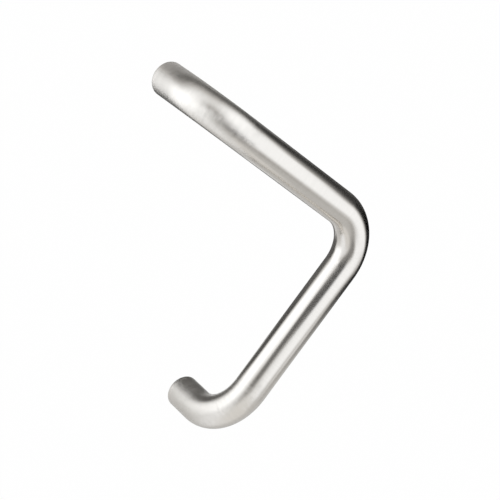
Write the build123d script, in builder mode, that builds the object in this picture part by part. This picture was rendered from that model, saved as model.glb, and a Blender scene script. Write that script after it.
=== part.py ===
from build123d import *
from math import radians, tan
import os

# A V-shaped door pull. One round stainless tube is bent three times on the same die: out of the
# upper foot into the grip, round the elbow of the V, and back into the lower foot. A turned plug
# with a tapped hole is welded into each foot and faced flush, and takes the fixing bolt.
#
# The door's surface is the plane Y = 0 and the grip stands in front of it, towards -Y. Z is up.
# The origin lies on the door's surface, midway between the two fixing holes. All sizes are in mm.

# Driving dimensions of the tube
tube_diameter = 30.0
tube_wall = 1.5
fixing_centres = 300.0   # between the two fixing holes, along Z
v_angle = 90.0           # between the two arms of the grip, in degrees
bend_radius = 42.0       # of the tube's centreline, the same in all three bends
rim_chamfer = 0.6        # on the outer edge of each foot, where the saw cut is broken

# Driving dimensions of the threaded inserts
insert_length = 20.0
insert_to_bend = 6.0     # straight tube left between an insert and the foot's bend
insert_lead = 1.2        # chamfer on the end that enters the tube first
tapping_diameter = 6.8   # drilled for an M8 thread
countersink_diameter = 8.4
countersink_angle = 120.0

# Worked-out sizes
tube_radius = tube_diameter / 2
bore_radius = tube_radius - tube_wall
tapping_radius = tapping_diameter / 2
countersink_radius = countersink_diameter / 2
countersink_depth = (countersink_radius - tapping_radius) / tan(radians(countersink_angle / 2))
grip_standoff = insert_length + insert_to_bend + bend_radius
foot_height = fixing_centres / 2
elbow_reach = foot_height / tan(radians(v_angle / 2))

# The corners that the tube's centreline would have if its bends were sharp
upper_foot = Vector(0, 0, foot_height)
upper_corner = Vector(0, -grip_standoff, foot_height)
elbow_corner = Vector(elbow_reach, -grip_standoff, 0)
lower_corner = Vector(0, -grip_standoff, -foot_height)
lower_foot = Vector(0, 0, -foot_height)
away_from_door = Vector(0, -1, 0)

os.makedirs("parts", exist_ok=True)


# The tube: a ring swept from the upper foot to the lower one
with BuildPart() as handle_tube:
    with BuildLine() as centreline:
        FilletPolyline(
            upper_foot,
            upper_corner,
            elbow_corner,
            lower_corner,
            lower_foot,
            radius=bend_radius,
        )
    with BuildSketch(Plane(origin=upper_foot, z_dir=away_from_door)):
        Circle(tube_radius)
        Circle(bore_radius, mode=Mode.SUBTRACT)
    sweep(path=centreline.wire())
    door_faces = faces().filter_by(Plane.XZ).group_by(Axis.Y)[-1]
    rims = door_faces.edges().filter_by(GeomType.CIRCLE).group_by(SortBy.RADIUS)[-1]
    chamfer(rims, length=rim_chamfer)
handle_tube.part.label = "handle_tube"
export_step(handle_tube.part, "parts/handle_tube.step")


# The inserts: a turned plug with a tapped hole, its face flush with the end of the tube
for name, foot in (("upper_insert", upper_foot), ("lower_insert", lower_foot)):
    turning_plane = Plane(origin=foot, x_dir=(1, 0, 0), z_dir=(0, 0, 1))
    with BuildPart() as insert:
        with BuildSketch(turning_plane):
            with BuildLine():
                Polyline(
                    (countersink_radius, 0),
                    (bore_radius, 0),
                    (bore_radius, insert_lead - insert_length),
                    (bore_radius - insert_lead, -insert_length),
                    (countersink_radius, -insert_length),
                    (tapping_radius, countersink_depth - insert_length),
                    (tapping_radius, -countersink_depth),
                    close=True,
                )
            make_face()
        revolve(axis=Axis(foot, away_from_door))
    insert.part.label = name
    export_step(insert.part, f"parts/{name}.step")
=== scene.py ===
# %% [markdown]
# # A V-shaped door pull in satin stainless steel
# The handle is one stainless tube that a bender turned three times, with a threaded plug welded
# into each foot. The CAD model holds its sizes. This lesson gives it its looks: a wall with a
# thickness, a thread that a bolt could enter, the fine lines of a belt grinder, and a studio,
# because polished metal has hardly a colour of its own and shows what stands round it.
#
# The first cell loads the CAD model as a frame that never moves. Lengths are in metres, the door's
# surface is the plane Y = 0, the grip stands in front of it towards -Y, and Z is up.

# %% Load the frame
from math import atan2, cos, pi, radians, sin, sqrt, tan

import bmesh
import bpy
from mathutils import Matrix, Vector


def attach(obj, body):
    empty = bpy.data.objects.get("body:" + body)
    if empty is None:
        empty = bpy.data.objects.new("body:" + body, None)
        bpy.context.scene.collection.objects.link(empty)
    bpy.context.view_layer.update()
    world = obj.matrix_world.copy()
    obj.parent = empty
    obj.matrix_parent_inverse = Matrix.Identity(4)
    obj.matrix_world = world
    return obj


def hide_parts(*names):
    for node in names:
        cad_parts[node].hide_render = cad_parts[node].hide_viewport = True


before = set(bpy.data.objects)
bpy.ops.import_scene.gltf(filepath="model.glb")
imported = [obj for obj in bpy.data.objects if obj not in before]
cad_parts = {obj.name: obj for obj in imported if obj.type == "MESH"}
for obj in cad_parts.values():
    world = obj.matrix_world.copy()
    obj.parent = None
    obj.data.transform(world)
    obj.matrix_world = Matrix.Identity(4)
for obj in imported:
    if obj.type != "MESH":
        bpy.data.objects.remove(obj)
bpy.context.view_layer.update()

# %% [markdown]
# ## Sizes
# A maker would read these off the drawing: the tube, the bending die and the drilling in the door.
# They are kept as names, so that a length is typed only once. Everything else follows from them,
# such as how much straight tube is left between two bends.

# %% Sizes of the handle
MM = 0.001
TUBE_RADIUS = 15 * MM
TUBE_WALL = 1.5 * MM
BEND_RADIUS = 42 * MM       # of the tube's centreline
FOOT_HEIGHT = 150 * MM      # half the distance between the two fixing holes
GRIP_STANDOFF = 68 * MM     # from the door to the centreline of the grip
RIM_CHAMFER = 0.6 * MM
QUARTER_TURN = radians(90)

foot_straight = GRIP_STANDOFF - BEND_RADIUS
arm_straight = FOOT_HEIGHT * sqrt(2) - 2 * BEND_RADIUS
upper_foot = Vector((0, 0, FOOT_HEIGHT))
lower_foot = Vector((0, 0, -FOOT_HEIGHT))
legs = [
    (Vector((0, -1, 0)), foot_straight),
    (Vector((1, 0, -1)).normalized(), arm_straight),
    (Vector((-1, 0, -1)).normalized(), arm_straight),
    (Vector((0, 1, 0)), foot_straight),
]
print("straight tube in mm:", [round(length * 1000, 2) for _, length in legs])

# %% [markdown]
# ## The camera
# The handle was photographed from its left and from above, through a long lens that keeps its two
# arms nearly parallel. A camera can be turned by three angles or by the directions of its own axes.
# The axes are used here, because they come straight from the two angles that a photographer would
# name, azimuth and elevation, and a third one for a camera held a little askew.

# %% Place the camera
CAMERA_AZIMUTH = -30.17
CAMERA_ELEVATION = 29.12
CAMERA_ROLL = -1.37
CAMERA_DISTANCE = 1.5462
CAMERA_LENS = 131.45        # in millimetres, as Blender has it
SENSOR_WIDTH = 36.0         # in millimetres too
AIM = Vector((0.075, -0.034, 0.0))
AIM_RIGHT, AIM_UP = -19.16 * MM, -12.24 * MM   # the handle sits off the middle of the picture


def compass(azimuth, elevation):
    """The direction from the handle to something at that azimuth (0 in front, 90 right)."""
    a, e = radians(azimuth), radians(elevation)
    return Vector((sin(a) * cos(e), -cos(a) * cos(e), sin(e)))


back = compass(CAMERA_AZIMUTH, CAMERA_ELEVATION)
level = Vector((cos(radians(CAMERA_AZIMUTH)), sin(radians(CAMERA_AZIMUTH)), 0))
lean = Matrix.Rotation(radians(CAMERA_ROLL), 3, back)
right = lean @ level
up = lean @ back.cross(level)
eye = AIM + right * AIM_RIGHT + up * AIM_UP + back * CAMERA_DISTANCE

bpy.ops.object.camera_add(location=eye)
camera = bpy.context.object
camera.name = "portrait_camera"
camera.rotation_euler = Matrix((right, up, back)).transposed().to_euler()
camera.data.lens = CAMERA_LENS
camera.data.sensor_width = SENSOR_WIDTH
bpy.context.scene.camera = camera
print("camera at", [round(x, 3) for x in eye])

# %% [markdown]
# ## Working in edit mode
# Blender's operators act on whatever is selected, so a small set of helpers keeps that in hand: one
# lets go of everything before a primitive is added, one picks vertices, edges or faces by where
# they are, and one applies a modifier, so that its result is the mesh itself. Where a test compares
# places, it allows for rounding.

# %% Helpers for modelling
WELD = 1e-7                 # points that are closer than this are one point
NEARLY = 1e-6               # how near a point has to lie to the place that a test looks at
RING_SLACK = 2e-5           # the same for a distance from an axis, where a ring has corners


def clear_selection():
    """Leaves edit mode and lets go of every object."""
    if bpy.context.object and bpy.context.object.mode != "OBJECT":
        bpy.ops.object.mode_set(mode="OBJECT")
    bpy.ops.object.select_all(action="DESELECT")


def settle(piece):
    """Puts the piece's place and turn into its mesh, so that its object sits at the origin."""
    bpy.ops.object.transform_apply(location=True, rotation=True, scale=True)
    return piece


def pick(piece, kind, test):
    """In edit mode, selects the verts, edges or faces whose every corner passes the test."""
    bpy.ops.mesh.select_mode(type={"verts": "VERT", "edges": "EDGE", "faces": "FACE"}[kind])
    bpy.ops.mesh.select_all(action="DESELECT")
    mesh = bmesh.from_edit_mesh(piece.data)
    chosen = 0
    for item in getattr(mesh, kind):
        corners = [item] if kind == "verts" else item.verts
        if all(test(corner.co) for corner in corners):
            item.select_set(True)
            chosen += 1
    mesh.select_flush_mode()
    bmesh.update_edit_mesh(piece.data)
    return chosen


def modify(piece, kind, **settings):
    """Adds a modifier, sets it and applies it."""
    modifier = piece.modifiers.new(kind.title(), kind)
    for name, value in settings.items():
        setattr(modifier, name, value)
    bpy.ops.object.modifier_apply(modifier=modifier.name)


def count(piece):
    """Prints how large the piece's mesh is."""
    mesh = piece.data
    triangles = sum(len(face.vertices) - 2 for face in mesh.polygons)
    print(piece.name, len(mesh.vertices), "vertices,", triangles, "triangles")


# %% [markdown]
# ## The tube
# On the bench, the tube is clamped at one foot and goes through the bender three times. Its outer
# skin could be a curve with a round bevel, but a curve gives no say over the rims and the wall.
# So the mesh is made as the tube was: a circle at the upper foot, extruded where the tube is
# straight and spun about the die's axis where it bends. All three bends are right angles, which
# puts the die's centre one bend radius away in the direction in which the tube leaves.
#
# A short first and last step holds the shading flat right up to the rims.

# %% Sweep the outer skin
RING_VERTICES = 128
BEND_STEPS = 44
ARM_STEPS = 10
FOOT_STEPS = 3
HOLD = 1.4 * MM             # the short step behind each rim


def extrude(step):
    bpy.ops.mesh.extrude_region_move(TRANSFORM_OT_translate={"value": step})


clear_selection()
bpy.ops.mesh.primitive_circle_add(
    vertices=RING_VERTICES, radius=TUBE_RADIUS, location=upper_foot, rotation=(QUARTER_TURN, 0, 0)
)
tube = settle(bpy.context.object)
tube.name = tube.data.name = "bent_tube"
bpy.ops.object.mode_set(mode="EDIT")
bpy.ops.mesh.select_mode(type="EDGE")
bpy.ops.mesh.select_all(action="SELECT")

bends = []
here = upper_foot.copy()
for number, (heading, length) in enumerate(legs):
    first, last = number == 0, number == len(legs) - 1
    steps = FOOT_STEPS if first or last else ARM_STEPS
    held = length - HOLD if first or last else length
    if first:
        extrude(heading * HOLD)
    for _ in range(steps):
        extrude(heading * held / steps)
    if last:
        extrude(heading * HOLD)
    here = here + heading * length
    if not last:
        turned = legs[number + 1][0]
        die = here + turned * BEND_RADIUS
        bpy.ops.mesh.spin(
            steps=BEND_STEPS, angle=QUARTER_TURN, center=die, axis=turned.cross(heading)
        )
        bends.append((die, heading, turned))
        here = die + heading * BEND_RADIUS

bpy.ops.mesh.select_all(action="SELECT")
bpy.ops.mesh.remove_doubles(threshold=WELD)
bpy.ops.mesh.normals_make_consistent(inside=False)
bpy.ops.object.mode_set(mode="OBJECT")
print("sweep ends at", [round(x * 1000, 3) for x in here], "mm; the lower foot is at",
      [round(x * 1000, 3) for x in lower_foot])
count(tube)

# %% [markdown]
# ## The wall and the rims
# The tube's wall is 1.5 mm thick. Solidify grows it inwards, so that the outside stays on the
# drawing's size. The ends were sawn and faced, and the sharp outer edge was broken with a file, so
# that a hand doesn't catch on it. The inner edge got just a touch, which leaves the hairline that
# is seen where the plug is welded in and faced flush.

# %% Thicken the wall and break the edges
BORE_RADIUS = TUBE_RADIUS - TUBE_WALL
WITNESS = 0.2 * MM          # the tiny chamfer on both sides of the joint
RIM_SEGMENTS = 3
TUBE_SMOOTH = radians(35)   # faces that meet at less than this are shaded as one


def from_foot(point):
    """How far a point lies from the axis of its foot."""
    return sqrt(point.x ** 2 + (abs(point.z) - FOOT_HEIGHT) ** 2)


modify(tube, "SOLIDIFY", thickness=TUBE_WALL, offset=-1.0, use_even_offset=True, use_rim=True)
bpy.ops.object.mode_set(mode="EDIT")
for radius, size, segments in (
    (TUBE_RADIUS, RIM_CHAMFER, RIM_SEGMENTS),
    (BORE_RADIUS, WITNESS, 1),
):
    found = pick(
        tube, "edges",
        lambda co: abs(co.y) < NEARLY and abs(from_foot(co) - radius) < RING_SLACK,
    )
    bpy.ops.mesh.bevel(offset=size, segments=segments, profile=0.5, affect="EDGES")
    print("rim edges at", round(radius * 1000, 2), "mm:", found)
bpy.ops.object.mode_set(mode="OBJECT")
bpy.ops.object.shade_smooth_by_angle(angle=TUBE_SMOOTH)
count(tube)

# %% [markdown]
# ## A map of the tube before it was bent
# The belt ran round the tube, so its fine lines go round it too, also in the bends. No straight
# coordinate follows that, and a flat UV map would show a seam. So every vertex is told where it
# was on the straight tube: two numbers place it round the ring and the third says how far it was
# from the upper foot. On the faced ends the third number runs on over the rim, so the lines
# become circles there, as a facing tool leaves them.

# %% Store where each point was on the straight tube
TIE = 1e-9                  # the next stretch has to be nearer by this much to be taken


def unbend(point):
    """The place of a point on the straight tube: across, across, and along, in metres."""
    best = None
    start, travelled = upper_foot.copy(), 0.0
    side = Vector((1, 0, 0))
    for number, (heading, length) in enumerate(legs):
        along = (point - start).dot(heading)
        reach = min(max(along, 0.0), length)
        centre = start + heading * reach
        off = (point - centre).length
        if best is None or off < best[0] - TIE:
            best = (off, centre, heading, side, travelled + reach)
        travelled += length
        if number < len(bends):
            die, into, out = bends[number]
            spoke = point - die
            turn = min(max(atan2(spoke.dot(into), -spoke.dot(out)), 0.0), QUARTER_TURN)
            centre = die + (into * sin(turn) - out * cos(turn)) * BEND_RADIUS
            now = into * cos(turn) + out * sin(turn)
            swing = Matrix.Rotation(turn, 3, into.cross(out))
            off = (point - centre).length
            if off < best[0] - TIE:
                best = (off, centre, now, swing @ side, travelled + turn * BEND_RADIUS)
            side = Matrix.Rotation(QUARTER_TURN, 3, into.cross(out)) @ side
            travelled += BEND_RADIUS * QUARTER_TURN
            start = die + into * BEND_RADIUS
    _, centre, heading, side, along = best
    spoke = point - centre
    radius = (spoke - heading * spoke.dot(heading)).length
    over_rim = TUBE_RADIUS - radius
    along += over_rim if along > travelled / 2 else -over_rim
    return spoke.dot(side), spoke.dot(heading.cross(side)), along


unbent = tube.data.attributes.new("unbent", "FLOAT_VECTOR", "POINT")
places = [unbend(vertex.co) for vertex in tube.data.vertices]
unbent.data.foreach_set("vector", [number for place in places for number in place])
stations = [place[2] for place in places]
print("the straight tube was", round((max(stations) - min(stations)) * 1000, 1),
      "mm long, with the turn over its rims")

# %% [markdown]
# ## The plugs
# Each foot holds a plug that was turned on a lathe: faced, drilled, countersunk at both ends and
# tapped for the fixing bolt. It starts as a cylinder of the size of the bore. Two insets draw the
# countersink on each end, the second one going down as it goes in, and bridging the two small
# circles that are left drills the hole. Bevels give it the lead that helps it into the tube.

# %% Turn the upper plug
PLUG_LENGTH = 20 * MM
PLUG_LEAD = 1.2 * MM
TAPPING_RADIUS = 3.4 * MM
SINK_RADIUS = 4.2 * MM
SINK_ANGLE = radians(120)
sink_depth = (SINK_RADIUS - TAPPING_RADIUS) / tan(SINK_ANGLE / 2)

clear_selection()
bpy.ops.mesh.primitive_cylinder_add(
    vertices=RING_VERTICES, radius=BORE_RADIUS, depth=PLUG_LENGTH, end_fill_type="NGON",
    location=upper_foot + Vector((0, -PLUG_LENGTH / 2, 0)), rotation=(QUARTER_TURN, 0, 0),
)
plug = settle(bpy.context.object)
plug.name = plug.data.name = "upper_plug"
bpy.ops.object.mode_set(mode="EDIT")

for end, chamfer in ((0.0, WITNESS), (-PLUG_LENGTH, PLUG_LEAD)):
    pick(plug, "faces", lambda co: abs(co.y - end) < NEARLY)
    bpy.ops.mesh.inset(thickness=BORE_RADIUS - SINK_RADIUS)
    bpy.ops.mesh.inset(thickness=SINK_RADIUS - TAPPING_RADIUS, depth=-sink_depth)
    bpy.ops.mesh.delete(type="ONLY_FACE")
    found = pick(
        plug, "edges",
        lambda co: abs(co.y - end) < NEARLY and from_foot(co) > 2 * SINK_RADIUS,
    )
    bpy.ops.mesh.bevel(offset=chamfer, segments=1, affect="EDGES")
    print("outer edges at", round(end * 1000, 2), "mm:", found)
pick(plug, "edges", lambda co: abs(from_foot(co) - TAPPING_RADIUS) < RING_SLACK)
bpy.ops.mesh.bridge_edge_loops()
bpy.ops.mesh.select_all(action="SELECT")
bpy.ops.mesh.normals_make_consistent(inside=False)
bpy.ops.object.mode_set(mode="OBJECT")
count(plug)

# %% [markdown]
# ## The thread
# A normal map would do for a thread seen from across a room, but this one is looked into. A real
# tap cuts a V of 60 degrees that climbs 1.25 mm in each turn, so one turn of that V is drawn as a
# line, and the Screw modifier winds it into a helix. Two cuts trim the helix square and close it,
# which makes a solid tap, and a Boolean takes it out of the plug, as the tap takes the metal.

# %% Wind a tap and cut the thread
PITCH = 1.25 * MM
THREAD_MAJOR = 4.0 * MM
TAP_CORE = 3.3 * MM         # a little less than the hole, so the two never share a face
THREAD_ANGLE = radians(60)
THREAD_STEPS = 56           # in one turn
SPARE_TURNS = 2             # past each end of the plug
TRIM = 1.1 * PITCH          # what is cut off the helix at each end
PLUG_SMOOTH = radians(25)   # less than the tube's, so that the crests stay crisp

depth = THREAD_MAJOR - TAP_CORE
flank = depth * tan(THREAD_ANGLE / 2)
root = PITCH / 8
gap = (PITCH - root - 2 * flank) / 2
turns = int(PLUG_LENGTH / PITCH) + 2 * SPARE_TURNS

clear_selection()
bpy.ops.mesh.primitive_plane_add(size=1 * MM, location=(0, 0, 0))
tap = bpy.context.object
tap.name = "thread_tap"
bpy.ops.object.mode_set(mode="EDIT")
bpy.ops.mesh.select_mode(type="VERT")
bpy.ops.mesh.select_all(action="SELECT")
bpy.ops.mesh.merge(type="CENTER")
bpy.ops.transform.translate(value=(TAP_CORE, 0, 0))
for outwards, upwards in ((0, gap), (depth, flank), (0, root), (-depth, flank), (0, gap)):
    bpy.ops.mesh.extrude_vertices_move(TRANSFORM_OT_translate={"value": (outwards, 0, upwards)})
bpy.ops.object.mode_set(mode="OBJECT")
modify(
    tap, "SCREW", axis="Z", angle=2 * pi, screw_offset=PITCH, iterations=turns,
    steps=THREAD_STEPS, render_steps=THREAD_STEPS, use_merge_vertices=True, merge_threshold=WELD,
)
tap_length = turns * PITCH
bpy.ops.object.mode_set(mode="EDIT")
for height, cut_off in ((TRIM, -1), (tap_length - TRIM, 1)):
    bpy.ops.mesh.select_all(action="SELECT")
    bpy.ops.mesh.bisect(
        plane_co=(0, 0, height), plane_no=(0, 0, cut_off), use_fill=True, clear_outer=True
    )
bpy.ops.mesh.select_all(action="SELECT")
bpy.ops.mesh.remove_doubles(threshold=WELD)
bpy.ops.mesh.normals_make_consistent(inside=False)
bpy.ops.object.mode_set(mode="OBJECT")
tap.rotation_euler = (QUARTER_TURN, 0, 0)
tap.location = upper_foot + Vector((0, (tap_length - PLUG_LENGTH) / 2, 0))
settle(tap)
count(tap)

clear_selection()
plug.select_set(True)
bpy.context.view_layer.objects.active = plug
modify(plug, "BOOLEAN", operation="DIFFERENCE", solver="EXACT", object=tap)
bpy.data.objects.remove(tap)
bpy.ops.object.shade_smooth_by_angle(angle=PLUG_SMOOTH)
count(plug)

# %% [markdown]
# ## The second plug
# The lathe makes both plugs alike. The lower one is a copy with a mesh of its own, slid down by
# the distance between the fixing holes. Mirroring it would be wrong: it would turn the thread
# left-handed.

# %% Copy the plug to the lower foot
bpy.ops.object.duplicate_move(
    TRANSFORM_OT_translate={"value": (0, 0, -2 * FOOT_HEIGHT)}
)
lower_plug = settle(bpy.context.object)
lower_plug.name = lower_plug.data.name = "lower_plug"
count(lower_plug)

# %% [markdown]
# ## Shader maths as plain expressions
# A material is a graph of small nodes. Written out node by node, even a sum takes many lines, so
# one class wraps a socket and lets Python's own signs add the Math nodes. Another makes any other
# node from its type, its settings and what goes into its sockets. The methods after that are the
# few mixtures of nodes that these finishes need again and again.

# %% Classes for materials
class Wire:
    """An output socket that sums and products can be written with."""

    def __init__(self, finish, socket):
        self.finish, self.socket = finish, socket

    def maths(self, operation, *values):
        return self.finish.node("ShaderNodeMath", {"operation": operation},
                                dict(enumerate(values)))

    def __add__(self, other):
        return self.maths("ADD", self, other)

    def __radd__(self, other):
        return self.maths("ADD", other, self)

    def __sub__(self, other):
        return self.maths("SUBTRACT", self, other)

    def __rsub__(self, other):
        return self.maths("SUBTRACT", other, self)

    def __mul__(self, other):
        return self.maths("MULTIPLY", self, other)

    def __rmul__(self, other):
        return self.maths("MULTIPLY", other, self)

    def __truediv__(self, other):
        return self.maths("DIVIDE", self, other)

    def __pow__(self, other):
        return self.maths("POWER", self, other)

    def __abs__(self):
        return self.maths("ABSOLUTE", self)


class Finish:
    """A material, with its shader and methods that add nodes."""

    def __init__(self, name, **constants):
        self.material = bpy.data.materials.new(name)
        self.material.use_nodes = True
        self.nodes = self.material.node_tree.nodes
        self.links = self.material.node_tree.links
        self.shader = self.nodes["Principled BSDF"]
        for socket, value in constants.items():
            self.shader.inputs[socket.replace("_", " ")].default_value = value

    def node(self, kind, settings, sockets, output=0):
        made = self.nodes.new(kind)
        for name, value in settings.items():
            setattr(made, name, value)
        for name, value in sockets.items():
            self.plug_in(made.inputs[name], value)
        return Wire(self, made.outputs[output])

    def plug_in(self, socket, value):
        if isinstance(value, Wire):
            self.links.new(value.socket, socket)
        else:
            socket.default_value = value

    def outputs(self, kind, sockets, names):
        """Several outputs of one new node."""
        made = self.node(kind, {}, sockets).socket.node
        return [Wire(self, made.outputs[name]) for name in names]

    def feed(self, **sockets):
        """Plugs values or wires into the material's own shader."""
        for name, value in sockets.items():
            self.plug_in(self.shader.inputs[name.replace("_", " ")], value)

    def show(self, surface):
        """Takes another shader for the surface."""
        self.plug_in(self.nodes["Material Output"].inputs["Surface"], surface)

    def noise(self, place, per_metre, detail):
        """Noise that changes about so many times per metre along each of the three axes."""
        stretched = self.node("ShaderNodeVectorMath", {"operation": "MULTIPLY"},
                              {0: place, 1: per_metre})
        return self.node("ShaderNodeTexNoise", {"noise_dimensions": "3D"},
                         {"Vector": stretched, "Scale": 1.0, "Detail": detail})

    def grooves(self, height):
        """A normal for the relief of that height in metres."""
        return self.node("ShaderNodeBump", {}, {"Strength": 1.0, "Distance": 1.0, "Height": height})

    def between(self, factor, first, second):
        """A colour on the way from the first to the second."""
        mix = self.nodes.new("ShaderNodeMix")
        mix.data_type = "RGBA"
        self.plug_in(mix.inputs[0], factor)
        self.plug_in(mix.inputs[6], first)
        self.plug_in(mix.inputs[7], second)
        return Wire(self, mix.outputs[2])

    def ramp(self, value, low, high):
        """0 below low, 1 above high, and smooth in between."""
        return self.node("ShaderNodeMapRange", {"interpolation_type": "SMOOTHSTEP"},
                         {"Value": value, "From Min": low, "From Max": high})


# %% [markdown]
# ## Satin stainless, ground round the tube
# Satin steel is not blurred evenly. Each pass of the belt leaves fine lines round the tube, and
# light that falls across them spreads much wider than light that falls along them. The shader has
# a setting for this, but it doesn't follow a bent tube and is lost on export. So the lines
# themselves are modelled, as a bump that changes quickly along the tube and slowly round it. A
# second, coarser layer is the unevenness of the belt, and a slow cloud makes some stretches a
# little duller, as hands and cloths do.
#
# The feet and their bends were dressed once more after the plugs were welded in, to clean up the
# heat's colours. The lines of that belt are closer and deeper, so a foot looks softer than an arm.
# How far a point lies from the nearer end of the straight tube says where it was dressed.

# %% Make the satin finish
DRESSED_UP_TO = 98 * MM     # along the tube from either end, just past the foot's bend
DRESSED_FADE = 14 * MM
LINE_DEPTH = 0.01 * MM
BELT_MARK_DEPTH = 0.012 * MM
DRESSED_DEPTH = 0.1 * MM
SATIN_LIGHT = (0.712, 0.678, 0.627, 1)
SATIN_DARK = (0.586, 0.556, 0.513, 1)
tube_length = sum(length for _, length in legs) + len(bends) * BEND_RADIUS * QUARTER_TURN

satin = Finish("satin_stainless", Metallic=1.0)
on_tube = satin.node("ShaderNodeAttribute", {"attribute_name": "unbent"}, {}, output="Vector")
along_tube = satin.node("ShaderNodeSeparateXYZ", {}, {"Vector": on_tube}, output="Z")
from_end = tube_length / 2 - abs(along_tube - tube_length / 2)
dressed = satin.ramp(from_end, DRESSED_UP_TO + DRESSED_FADE, DRESSED_UP_TO - DRESSED_FADE)
fine_lines = satin.noise(on_tube, per_metre=(70, 70, 5200), detail=1.0)
foot_lines = satin.noise(on_tube, per_metre=(90, 90, 9000), detail=1.0)
belt_marks = satin.noise(on_tube, per_metre=(45, 45, 1300), detail=2.0)
cloud = satin.noise(on_tube, per_metre=(38, 38, 26), detail=3.0)
relief = (LINE_DEPTH * fine_lines + BELT_MARK_DEPTH * belt_marks
          + DRESSED_DEPTH * foot_lines * dressed)
satin.feed(
    Base_Color=satin.between(0.65 * belt_marks + 0.35 * cloud, SATIN_DARK, SATIN_LIGHT),
    Roughness=0.17 + 0.03 * dressed + 0.06 * belt_marks + 0.04 * (cloud - 0.5),
    Normal=satin.grooves(relief),
)
print("dressed up to", round(DRESSED_UP_TO * 1000), "mm from both ends of",
      round(tube_length * 1000), "mm of tube")

# %% [markdown]
# ## Turned stainless
# The lathe's tool leaves fine circles round the plug's axis on the faces, and rings along the bore.
# Wider rings between them come from the feed, which never runs quite evenly. An image of circles
# could be laid on each face, but the bore would need another. Here the distance from the axis
# places the circles everywhere. Both plugs share the finish, because the height above or below the
# middle of the handle, taken without its sign, puts the axis at the same place.

# %% Make the turned finish
TOOL_LINE_DEPTH = 0.03 * MM
FEED_RING_DEPTH = 0.04 * MM
TURNED_LIGHT = (0.72, 0.71, 0.692, 1)
TURNED_DARK = (0.47, 0.461, 0.447, 1)

turned_steel = Finish("turned_stainless", Metallic=1.0)
on_handle = turned_steel.node("ShaderNodeTexCoord", {}, {}, output="Object")
x, y, z = turned_steel.outputs("ShaderNodeSeparateXYZ", {"Vector": on_handle}, "XYZ")
off_axis = abs(z) - FOOT_HEIGHT
radial = (x * x + off_axis * off_axis) ** 0.5
in_section = turned_steel.node("ShaderNodeCombineXYZ", {}, {"X": radial, "Y": y, "Z": z})
tool_lines = turned_steel.noise(in_section, per_metre=(5200, 5200, 40), detail=2.0)
feed_rings = turned_steel.noise(in_section, per_metre=(2200, 2200, 16), detail=2.0)
turned_steel.feed(
    Base_Color=turned_steel.between(
        0.5 * tool_lines + 0.5 * feed_rings, TURNED_DARK, TURNED_LIGHT
    ),
    Roughness=0.16 + 0.08 * tool_lines + 0.04 * feed_rings,
    Normal=turned_steel.grooves(TOOL_LINE_DEPTH * tool_lines + FEED_RING_DEPTH * feed_rings),
)
print("nodes in the finishes:", len(satin.nodes), "and", len(turned_steel.nodes))

# %% [markdown]
# ## Hand the pieces to the frame
# Each piece takes its finish and moves with the handle's one body. Its CAD solid is hidden and
# stays in the scene.

# %% Finish the pieces and hide their CAD solids
for piece, finish, slot, node in (
    (tube, satin, "satin_stainless", "handle_tube"),
    (plug, turned_steel, "turned_stainless", "upper_insert"),
    (lower_plug, turned_steel, "turned_stainless", "lower_insert"),
):
    piece.data.materials.clear()
    piece.data.materials.append(finish.material)
    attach(piece, "root")
    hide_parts(node)
    print(piece.name, "stands for", node)

# %% [markdown]
# ## The studio
# A pale floor lies well below the handle, in a plain white room. The camera sees the floor as
# white, but a small share of it stays a real surface, so it keeps the handle's soft shadow.

# %% Build the room
ROOM_WHITE = 1.0
FLOOR_SIDE = 60
FLOOR_DEPTH = -0.55
FLOOR_GREY = (0.86, 0.86, 0.86, 1)
SEEN_WHITE = 0.97           # how much of the floor is plain white to the camera and in reflections

world = bpy.data.worlds.new("white_room")
bpy.context.scene.world = world
world.use_nodes = True
background = world.node_tree.nodes["Background"]
background.inputs["Color"].default_value = (1, 1, 1, 1)
background.inputs["Strength"].default_value = ROOM_WHITE

clear_selection()
bpy.ops.mesh.primitive_plane_add(size=FLOOR_SIDE, location=(0, 0, FLOOR_DEPTH))
floor = bpy.context.object
floor.name = "floor"

pale = Finish("pale_floor", Base_Color=FLOOR_GREY, Roughness=0.8)
by_camera, by_gloss, through_glass = pale.outputs(
    "ShaderNodeLightPath", {}, ("Is Camera Ray", "Is Glossy Ray", "Is Transmission Ray")
)
glow = pale.node("ShaderNodeEmission", {}, {"Color": (1, 1, 1, 1), "Strength": 1.0})
pale.show(pale.node("ShaderNodeMixShader", {}, {
    0: SEEN_WHITE * (by_camera + by_gloss + through_glass),
    1: Wire(pale, pale.shader.outputs[0]), 2: glow,
}))
floor.data.materials.append(pale.material)
print("floor at Z =", FLOOR_DEPTH, "m")

# %% [markdown]
# ## The light tent
# A photographer lights metal by what it reflects, so a steel part is shot inside a long tent of
# white cloth. Its back, its roof and its right wall hang close to the handle, and it runs out
# towards the camera and to the left. A ball of cloth would be simpler, but then all of it would be
# as far away, and the same lamp would show at the same place in the foot and in the elbow.

# %% Hang the tent
TENT_MIDDLE = Vector((0.05, -0.10, -0.03))
TENT_START = 0.2            # half the side of the cube that the tent starts as
TENT_WALLS = {              # which way each wall lies, and how far it hangs from the middle
    (-1, 0, 0): 1.2, (1, 0, 0): 0.2,
    (0, -1, 0): 2.0, (0, 1, 0): 0.25,
    (0, 0, -1): 0.45, (0, 0, 1): 0.22,
}


def hide_from_all_but_steel(thing):
    for unseen_by in ("camera", "diffuse", "shadow", "transmission"):
        setattr(thing, "visible_" + unseen_by, False)


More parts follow.
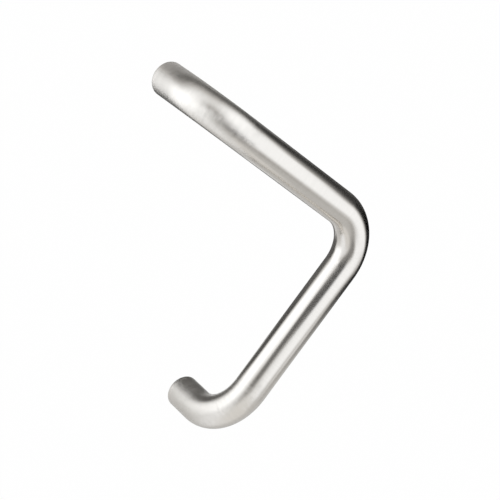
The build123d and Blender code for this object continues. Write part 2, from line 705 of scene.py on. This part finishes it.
clear_selection()
bpy.ops.mesh.primitive_cube_add(size=2 * TENT_START, location=TENT_MIDDLE)
tent = bpy.context.object
tent.name = "light_tent"
bpy.ops.object.mode_set(mode="EDIT")
for facing, distance in TENT_WALLS.items():
    pick(tent, "faces", lambda co: co.dot(Vector(facing)) > TENT_START - NEARLY)
    bpy.ops.transform.translate(value=Vector(facing) * (distance - TENT_START))
bpy.ops.object.mode_set(mode="OBJECT")
hide_from_all_but_steel(tent)
print("tent in m:", [round(length, 2) for length in tent.dimensions])

# %% [markdown]
# ## Windows and cards
# Lamps behind the cloth make bright windows, left and right of the camera, and dark cards give the
# tube its dark edges. Cards of mesh have hard edges, but a lamp behind cloth fades out softly. So
# the light is painted on the tent, window by window, from the direction in which each one stands.
# The camera and the floor don't see the tent. Only the steel does.

# %% A brush for windows
NEVER_BEHIND = 0.001        # a direction behind the window counts as far off its edge


def way_out(finish):
    """The direction from the tent's middle to the point that is painted."""
    spot = finish.node("ShaderNodeTexCoord", {}, {}, output="Object")
    return finish.node("ShaderNodeVectorMath", {"operation": "NORMALIZE"}, {0: spot})


def cosine(way, direction):
    """The cosine of the angle between the way out and that direction."""
    return way.finish.node("ShaderNodeVectorMath", {"operation": "DOT_PRODUCT"},
                           {0: way, 1: direction}, output="Value")


def opening(way, at, reach, roll, fade):
    """1 inside a soft-edged rectangle and 0 outside.

    It stands at an azimuth and elevation, reaches so far to each side of that and up and down, is
    rolled, and fades over so much on both sides of its edge, all in degrees.
    """
    facing = compass(*at)
    side = Vector((cos(radians(at[0])), sin(radians(at[0])), 0))
    top = side.cross(-facing)
    turn = Matrix.Rotation(radians(roll), 3, side.cross(top))
    ahead = cosine(way, facing)
    ahead = ahead.maths("MAXIMUM", ahead, NEVER_BEHIND)
    inside = 1.0
    for axis, half in ((turn @ side, reach[0]), (turn @ top, reach[1])):
        edge, soft = tan(radians(half)), tan(radians(fade))
        off_centre = abs(cosine(way, axis)) / ahead
        inside = way.finish.ramp(off_centre, edge + soft, edge - soft) * inside
    return inside


cloth = Finish("tent_cloth")
on_cloth = way_out(cloth)
painted = []


def paint(name, at, reach, strength, roll, fade):
    """Lays a window or a card over the light so far."""
    painted.append(name)
    return light + (strength - light) * opening(on_cloth, at, reach, roll, fade)


# %% [markdown]
# The bare cloth comes first. It is brightest at eye level, duller under the roof, and the light
# that comes back from the ground is in between.

# %% Light the bare cloth
LEVEL_LIGHT, TOP_LIGHT, LOW_LIGHT = 1.1, 0.5, 0.7
STEEPNESS = 1.4             # the change is complete about 45 degrees up or down

rise = cosine(on_cloth, Vector((0, 0, 1))) * STEEPNESS
upper = rise.maths("MINIMUM", rise.maths("MAXIMUM", rise, 0.0), 1.0)
lower = rise.maths("MINIMUM", rise.maths("MAXIMUM", rise * -1.0, 0.0), 1.0)
light = LEVEL_LIGHT + upper * (TOP_LIGHT - LEVEL_LIGHT) + lower * (LOW_LIGHT - LEVEL_LIGHT)
print("bare cloth at eye level, above and below:", LEVEL_LIGHT, TOP_LIGHT, LOW_LIGHT)

# %% [markdown]
# Four windows follow. Two stand on the left, one low and one high, and draw the bright line on the
# outer side of each arm. The one overhead lights the feet from above, and the wide one on the right
# fills the inside of the V.

# %% Paint the windows
light = paint("left_low", at=(-87, -28), reach=(20, 48), strength=1.25, roll=-5, fade=16)
light = paint("left_high", at=(-112, 35), reach=(29, 41), strength=1.8, roll=-5, fade=16)
light = paint("overhead", at=(-2, 70), reach=(54, 25), strength=1.6, roll=15, fade=12)
light = paint("wide_right", at=(29, 5), reach=(58, 47), strength=1.45, roll=-25, fade=10)
print("windows:", painted)

# %% [markdown]
# The front of the tent is open where the camera looks in, and the steel shows that hole, the stand
# under it and the slit above it, as the soft dark band along the middle of each arm.

# %% Paint the way in for the camera
light = paint("camera_stand", at=(-32, -3), reach=(14, 32), strength=0.3, roll=35, fade=8)
light = paint("slit_above", at=(-62, 65), reach=(17, 6), strength=0.0, roll=-40, fade=10)
light = paint("camera_hole", at=(-34, 33), reach=(22, 12), strength=0.1, roll=-10, fade=8)
print("windows and cards:", len(painted))

# %% [markdown]
# Black cards hang behind the handle and beside it. A round bar shows what is behind it along its
# outline, so they draw the dark edges, without which the steel would melt into the white. A gap is
# left behind the lower foot, where light comes through again.

# %% Hang the dark cards
light = paint("back_card", at=(165, -2), reach=(41, 30), strength=0.15, roll=5, fade=10)
light = paint("right_card", at=(101, -5), reach=(19, 32), strength=0.0, roll=15, fade=10)
light = paint("right_upper", at=(112, 39), reach=(21, 30), strength=0.05, roll=-5, fade=16)
light = paint("left_card", at=(-164, 3), reach=(11, 15), strength=0.1, roll=-35, fade=4)
light = paint("roof_card", at=(-175, 71), reach=(19, 8), strength=0.1, roll=-30, fade=8)
light = paint("right_lower", at=(97, -34), reach=(34, 12), strength=0.0, roll=20, fade=16)
light = paint("ground_card", at=(-4, -39), reach=(47, 3), strength=0.3, roll=-10, fade=16)
light = paint("right_back", at=(124, -13), reach=(13, 26), strength=0.05, roll=-5, fade=8)
light = paint("gap_behind", at=(173, -33), reach=(3, 14), strength=1.05, roll=-5, fade=4)
print("windows and cards:", len(painted))

# %% [markdown]
# The finished light becomes the glow of the cloth. The windows are daylight, a little cooler than
# what the cloth and the cards give back, so the highlights stay white and the greys turn warm. No
# lamp is sampled for it, because the steel finds the tent by itself when it reflects.

# %% Let the cloth glow
BOUNCED_LIGHT = (1.0, 1.0, 1.0, 1)
DAYLIGHT = (0.967, 1.0, 1.052, 1)
BOUNCED_UP_TO, DAYLIGHT_FROM = 0.5, 1.4     # strengths between which the tint changes

tint = cloth.between(cloth.ramp(light, BOUNCED_UP_TO, DAYLIGHT_FROM), BOUNCED_LIGHT, DAYLIGHT)
cloth.show(cloth.node("ShaderNodeEmission", {}, {"Color": tint, "Strength": light}))
cloth.material.cycles.emission_sampling = "NONE"
tent.data.materials.append(cloth.material)
print("nodes in the cloth:", len(cloth.nodes))

# %% [markdown]
# ## Two cards near the handle
# A card on the far cloth stands in the same direction for the whole handle. A near one is met by
# only a part of it, so photographers bring small cards in on arms. Each one here is a plane that is
# clear outside its soft-edged middle.

# %% A card on an arm
NEAR_CARD_SIDE = 320 * MM


def hang(name, at, away, reach, strength, roll, fade):
    """Hangs a card so far from the tent's middle, in that direction and facing back."""
    clear_selection()
    bpy.ops.mesh.primitive_plane_add(
        size=NEAR_CARD_SIDE, location=TENT_MIDDLE,
        rotation=compass(*at).to_track_quat("Z", "Y").to_euler(),
    )
    card = bpy.context.object
    card.name = name
    bpy.ops.object.transform_apply(location=False, rotation=True, scale=True)
    bpy.ops.object.mode_set(mode="EDIT")
    bpy.ops.transform.translate(value=compass(*at) * away)
    bpy.ops.object.mode_set(mode="OBJECT")
    hide_from_all_but_steel(card)

    face = Finish(name + "_face")
    clear = face.node("ShaderNodeBsdfTransparent", {}, {})
    glowing = face.node("ShaderNodeEmission", {}, {"Strength": strength})
    face.show(face.node("ShaderNodeMixShader", {}, {
        0: opening(way_out(face), at, reach, roll, fade), 1: clear, 2: glowing,
    }))
    face.material.cycles.emission_sampling = "NONE"
    card.data.materials.append(face.material)
    print(name, "hangs at", [round(x, 2) for x in TENT_MIDDLE + compass(*at) * away])


# %% [markdown]
# A black flag hangs between the camera and the elbow, where it joins the dark band of the upper arm
# to that of the lower one. A white reflector under the lower bend fills the shadow there.

# %% Hang the flag and the reflector
hang("black_flag", at=(-9, 19), away=210 * MM, reach=(14, 9), strength=0.0, roll=10, fade=10)
hang("reflector", at=(-56, -48), away=150 * MM, reach=(19, 34), strength=0.95, roll=-10, fade=10)

# %% [markdown]
# ## Colour
# The Standard view shows a colour as it is written, which is what a shelf of parts needs.

# %% Set the view
bpy.context.scene.view_settings.view_transform = "Standard"
